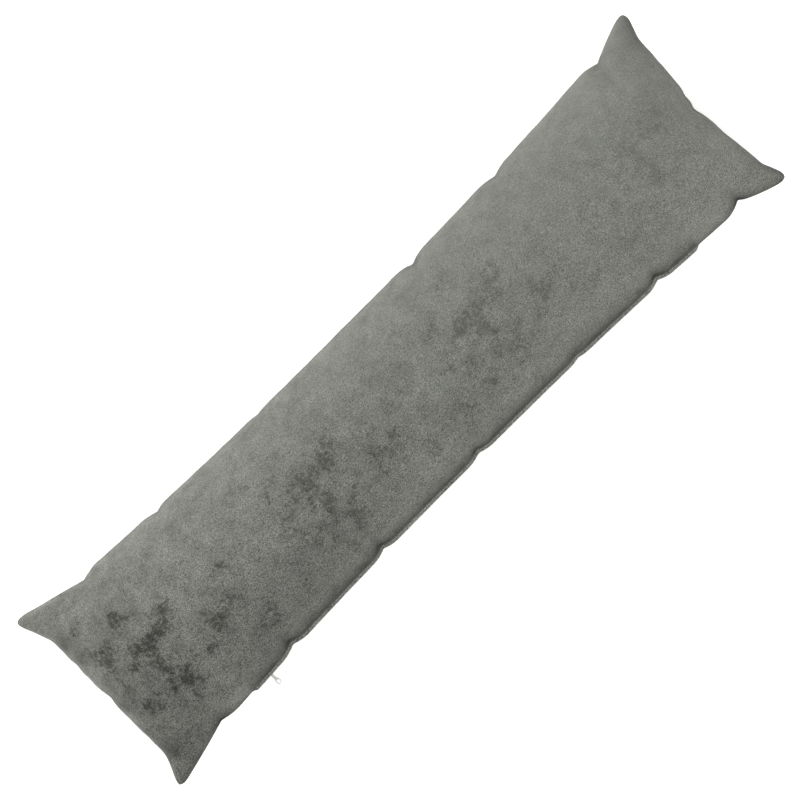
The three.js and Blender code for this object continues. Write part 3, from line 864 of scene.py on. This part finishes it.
# Spun polyester sewing thread: matt, a little fuzzy, its twist drawn as slanting ribs
def threadMaterial():
    material, tree = newMaterial("spunPolyesterThread")
    coords = addNode(tree, "TexCoord", out="Object")
    ribs = {"Vector": coords, "Scale": waveScale(lapStitches["twistPitch"]), "Distortion": 1}
    twist = addNode(tree, "TexWave", ribs, out="Fac", bands_direction="DIAGONAL")
    tone = addNode(tree, "MapRange", {"Value": twist, "To Min": 0.75, "To Max": 1.15})
    finishMaterial(tree, linear(lapStitches["colour"]), tone, {"Roughness": 0.8, "Sheen Weight": 0.2})
    return material


def makeLapStitches():
    pitch, thread = lapStitches["pitch"], lapStitches["thread"]
    bm = bmesh.new()
    stitch = bmesh.ops.create_icosphere(bm, subdivisions=1, radius=0.5)["verts"]
    bmesh.ops.scale(bm, verts=stitch, vec=(lapStitches["length"], thread, thread))
    bmesh.ops.translate(bm, verts=stitch, vec=(pitch / 2, 0, 0))

    def groovePlace(along, aside, up):
        lift = pocketShare(along) * pillow["pocketLift"]
        return besideSeam(along, lapStitches["out"] - aside, lapStitches["up"] + lift + up)

    start, end = pillow["lapStart"] + pillow["lapStep"], pillow["lapEnd"] - pillow["lapStep"]
    stitches = repeatedRow("lapStitches", bm, start, end, pitch, groovePlace, [threadMaterial()])
    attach(stitches, "root")
    print("lap stitches:", len(stitches.data.polygons), "faces")


# Slider and pull: nickel-plated zinc castings on the coil
zipEnd = {
    "length": 9.5,
    "width": 8,
    "wall": 0.8,
    "halfHeight": 1.85,
    "rearWidth": 0.84,  # of the front's
    "cornerRadius": 1.6,
    "flangeHeight": 0.75,
    "flangeLength": 0.62,  # of the slider's
    "flangeShift": 0.14,
    "bridgeSpan": 6.6,
    "bridgeThick": 1.2,
    "bridgeWidth": 1.6,
    "bridgeRise": 3.4,
    "bridgeSteps": 12,
    "edgeRounding": 0.2,
    "headingReach": 8,
    "pullLength": 26.7,  # middle of the eye to the tip
    "pullThick": 1.1,
    "pullTilt": 0.07,
    "pullRounding": 0.28,
    "eyeRadius": 2.5,
    "eyeHole": 1.4,
    "stemHalfWidth": 2.4,
    "stemLength": 8,
    "ringRadius": 4.5,
    "ringHole": 2.7,
    "ringNeck": 3.9,
    "neckRound": 0.5,
    "shoulder": 5.2,
    "clearance": 0.3,
    # Points along the parts of the pull's outlines
    "points": {"eye": 14, "eyeHole": 24, "flank": 12, "ring": 20, "ringHole": 16, "neck": 9},
    "sharpAngle": 1.2,  # edges bent more than this are rounded
    "metal": "#b4b5b3",
    "castSize": 1.6,
    "castDepth": 0.1,
    "rubSize": 0.5,
}


# Nickel plating over cast zinc: bright, with a faint cast waviness and handling scratches
def nickelMaterial():
    material, tree = newMaterial("nickelPlatedZinc")
    coords = addNode(tree, "TexCoord", out="Object")
    cast = addNode(tree, "TexNoise", {"Vector": coords, "Scale": 1 / (zipEnd["castSize"] * mm), "Detail": 3})
    rub = addNode(tree, "TexNoise", {"Vector": coords, "Scale": 1 / (zipEnd["rubSize"] * mm), "Detail": 4,
                                     "Distortion": 2})
    rough = addNode(tree, "MapRange", {"Value": rub, **noiseSpan, "To Min": 0.24, "To Max": 0.42})
    tone = addNode(tree, "MapRange", {"Value": cast, **noiseSpan, "To Min": 0.92, "To Max": 1.04})
    bump = addNode(tree, "Bump", {"Height": cast, "Strength": 0.25, "Distance": zipEnd["castDepth"] * mm})
    finishMaterial(tree, linear(zipEnd["metal"]), tone, {"Roughness": rough, "Metallic": 1.0, "Normal": bump})
    return material


# Place of the slider: on the coil, turned with it
def zipEndPlace():
    reach = zipEnd["headingReach"]
    ends = (pillow["sliderX"] - reach, pillow["sliderX"] + reach)
    back, on = (besideSeam(x, zipCoil["out"], zipCoil["up"]) for x in ends)
    turn = math.atan2(on.y - back.y, on.x - back.x)
    return Matrix.Scale(mm, 4) @ Matrix.Translation((back + on) / 2) @ Matrix.Rotation(turn, 4, "Z")


def sharpEdges(bm):
    return [e for e in bm.edges if len(e.link_faces) == 2 and e.calc_face_angle() > zipEnd["sharpAngle"]]


def makeZipSlider(metal):
    bm = bmesh.new()
    length, width, wall, half = (zipEnd[key] for key in ("length", "width", "wall", "halfHeight"))
    flangeSize = (zipEnd["flangeLength"] * length, wall, zipEnd["flangeHeight"] + wall)
    for side in (1, -1):
        plate = addBox(bm, (length, width, wall), (0, 0, side * (half - wall / 2)))
        rear = [v for v in plate if v.co.x > 0]
        bmesh.ops.scale(bm, verts=rear, vec=(1, zipEnd["rearWidth"], 1))
        edges = {e for v in plate for e in v.link_edges}
        corners = [e for e in edges if abs(e.verts[0].co.z - e.verts[1].co.z) > wall / 2]
        roundEdges(bm, corners, zipEnd["cornerRadius"], segments=4)
        # Flanges turn in towards the tape, with a slot left for it
        for edge in (1, -1):
            out = edge * (width * zipEnd["rearWidth"] - wall) / 2
            addBox(bm, flangeSize, (zipEnd["flangeShift"] * length, out, side * (half - flangeSize[2] / 2)))
    # The bridge is a leg carried half way round over the slider and down again
    thick, span = zipEnd["bridgeThick"], zipEnd["bridgeSpan"]
    radius = (span - thick) / 2
    springing = half + zipEnd["bridgeRise"] - thick / 2 - radius
    foot = bmesh.ops.create_grid(bm, x_segments=1, y_segments=1, size=0.5)["verts"]
    bmesh.ops.scale(bm, verts=foot, vec=(thick, zipEnd["bridgeWidth"], 1))
    bmesh.ops.translate(bm, verts=foot, vec=(-radius, 0, half - wall / 2))
    leg = bmesh.ops.extrude_face_region(bm, geom=[foot[0].link_faces[0]], use_keep_orig=True)["geom"]
    rise = springing - half + wall / 2
    bmesh.ops.translate(bm, verts=vertsOf(leg), vec=(0, 0, rise))
    top = facesOf(leg)
    arch = bmesh.ops.spin(bm, geom=top, cent=(0, 0, springing), axis=(0, 1, 0), angle=math.pi,
                          steps=zipEnd["bridgeSteps"])
    end = facesOf(arch["geom_last"])
    down = bmesh.ops.extrude_face_region(bm, geom=end)["geom"]
    bmesh.ops.translate(bm, verts=vertsOf(down), vec=(0, 0, -rise))
    bmesh.ops.delete(bm, geom=top + end, context="FACES_ONLY")
    bmesh.ops.recalc_face_normals(bm, faces=bm.faces[:])
    roundEdges(bm, sharpEdges(bm), zipEnd["edgeRounding"], segments=2)
    bmesh.ops.transform(bm, matrix=zipEndPlace(), verts=bm.verts[:])
    slider = meshObject("zipSlider", bm, [metal])
    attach(slider, "root")
    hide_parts("zip_slider")
    print("zip slider:", len(slider.data.polygons), "faces")


# Closed loop of edges through points of the pull's flat outline
def outlineLoop(bm, points):
    verts = [bm.verts.new((x, y, 0)) for x, y in points]
    for a, b in zip(verts, verts[1:] + verts[:1]):
        bm.edges.new((a, b))


def arcPoints(middleY, radius, start, end, steps):
    angles = [math.radians(start + (end - start) * i / steps) for i in range(steps + 1)]
    return [(radius * math.cos(a), middleY + radius * math.sin(a)) for a in angles]


# A curve from the first of four points to the last, drawn towards the two between
def curvePoints(corners, count):
    return [(p.x, p.y) for p in geometry.interpolate_bezier(*(Vector(c) for c in corners), count)]


def mirrored(points):
    return [(-x, y) for x, y in reversed(points)]


def makeZipPull(metal):
    bm = bmesh.new()
    stem, ring, hole, points = (zipEnd[key] for key in ("stemHalfWidth", "ringRadius", "ringHole", "points"))
    ringY = zipEnd["pullLength"] - ring
    shoulderY, neckY = ringY - zipEnd["shoulder"], ringY - zipEnd["ringNeck"]
    side = [(stem, zipEnd["stemLength"]), (stem, shoulderY), (ring, shoulderY), (ring, ringY)]
    flank = curvePoints(side, points["flank"])
    eyeEnd = arcPoints(0, zipEnd["eyeRadius"], 180, 360, points["eye"])
    ringEnd = arcPoints(ringY, ring, 0, 180, points["ring"])[1:-1]
    outlineLoop(bm, eyeEnd + flank + ringEnd + mirrored(flank))
    outlineLoop(bm, arcPoints(0, zipEnd["eyeHole"], 0, 360, points["eyeHole"])[:-1])
    drop = [(-hole, ringY), (-hole, (ringY + neckY) / 2), (-zipEnd["neckRound"], neckY), (0, neckY)]
    neck = curvePoints(drop, points["neck"])
    ringArc = arcPoints(ringY, hole, 0, 180, points["ringHole"])[1:-1]
    outlineLoop(bm, ringArc + neck + mirrored(neck[:-1]))
    bmesh.ops.triangle_fill(bm, use_beauty=True, use_dissolve=True, edges=bm.edges[:])
    plate = bmesh.ops.extrude_face_region(bm, geom=bm.faces[:], use_keep_orig=True)["geom"]
    bmesh.ops.translate(bm, verts=vertsOf(plate), vec=(0, 0, zipEnd["pullThick"]))
    bmesh.ops.recalc_face_normals(bm, faces=bm.faces[:])
    roundEdges(bm, sharpEdges(bm), zipEnd["pullRounding"], segments=3)
    lift = zipEnd["halfHeight"] + zipEnd["clearance"] + zipEnd["width"] / 2 * math.tan(zipEnd["pullTilt"])
    eye = Matrix.Translation((-(zipEnd["bridgeSpan"] - zipEnd["bridgeThick"]) / 2, 0, lift))
    lie = Matrix.Rotation(zipEnd["pullTilt"], 4, "X") @ Matrix.Rotation(math.pi, 4, "Z")
    bmesh.ops.transform(bm, matrix=zipEndPlace() @ eye @ lie, verts=bm.verts[:])
    pull = meshObject("zipPull", bm, [metal])
    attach(pull, "root")
    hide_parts("zip_pull")
    print("zip pull:", len(pull.data.polygons), "faces")


def makeZip():
    metal = nickelMaterial()
    makeZipCoil()
    makeLapStitches()
    makeZipSlider(metal)
    makeZipPull(metal)


# Studio: pale floor, even sky and a large soft lamp to each side
studio = {
    "floorColour": "#f6f6f4",
    "floorGlow": 0.3,
    "floorHalf": 14,  # metres
    "floorDrop": 0.4,  # keeps the floor clear of the pillow's flat patch
    "sky": 1.1,
    "lampSize": 2.2,
    "lampDistance": 3.6,
    # Power, degrees above the floor, degrees round from the picture's left towards its top
    "lamps": [{"power": 85, "height": 25, "turn": 35}, {"power": 36, "height": 48, "turn": 225}],
    "lens": 160,
    "sensor": 36,
    "pictureWidth": 1312,  # mm across the picture at the seam
    "aside": -2.46,  # picture's middle from the pillow's, to the picture's right
}


def makeStudio():
    scene = bpy.context.scene
    right, up = Vector((1, -1, 0)).normalized(), Vector((1, 1, 0)).normalized()
    bm = bmesh.new()
    bmesh.ops.create_grid(bm, x_segments=1, y_segments=1, size=studio["floorHalf"])
    bmesh.ops.translate(bm, verts=bm.verts[:], vec=(0, 0, -studio["floorDrop"] * mm))
    # White acrylic table lit faintly from below, so that shadows stay soft and pale
    material, tree = newMaterial("backlitAcrylic")
    acrylic = addNode(tree, "BsdfPrincipled", {"Base Color": linear(studio["floorColour"]), "Roughness": 0.8,
                                               "Specular IOR Level": 0.1, "Emission Color": linear("#ffffff"),
                                               "Emission Strength": studio["floorGlow"]})
    addNode(tree, "OutputMaterial", {"Surface": acrylic})
    floor = meshObject("floor", bm, [material])
    world = bpy.data.worlds.new("softSky")
    world.use_nodes = True
    sky = world.node_tree.nodes["Background"]
    sky.inputs["Color"].default_value = linear("#ffffff")
    sky.inputs["Strength"].default_value = studio["sky"]
    scene.world = world
    for row in studio["lamps"]:
        lamp = bpy.data.lights.new("softLamp", "AREA")
        lamp.shape = "DISK"
        lamp.size = studio["lampSize"]
        lamp.energy = row["power"]
        turn, height = math.radians(row["turn"]), math.radians(row["height"])
        flat = up * math.sin(turn) - right * math.cos(turn)
        toLamp = flat * math.cos(height) + Vector((0, 0, math.sin(height)))
        lampObject = bpy.data.objects.new("softLamp", lamp)
        lampObject.location = toLamp * studio["lampDistance"]
        lampObject.rotation_euler = toLamp.to_track_quat("Z", "Y").to_euler()
        scene.collection.objects.link(lampObject)
    camera = bpy.data.cameras.new("camera")
    camera.lens = studio["lens"]
    camera.sensor_width = studio["sensor"]
    cameraObject = bpy.data.objects.new("camera", camera)
    away = studio["pictureWidth"] * mm * studio["lens"] / studio["sensor"]
    eye = right * studio["aside"] * mm + Vector((0, 0, pillow["seamHeight"] * mm + away))
    axes = Matrix((right, up, Vector((0, 0, 1)))).transposed().to_4x4()
    cameraObject.matrix_world = Matrix.Translation(eye) @ axes
    scene.collection.objects.link(cameraObject)
    scene.camera = cameraObject
    scene.view_settings.view_transform = "Standard"
    print("studio ready, camera", round(away, 2), "m above the seam")


makeStudio()
makePillow()
makeZip()
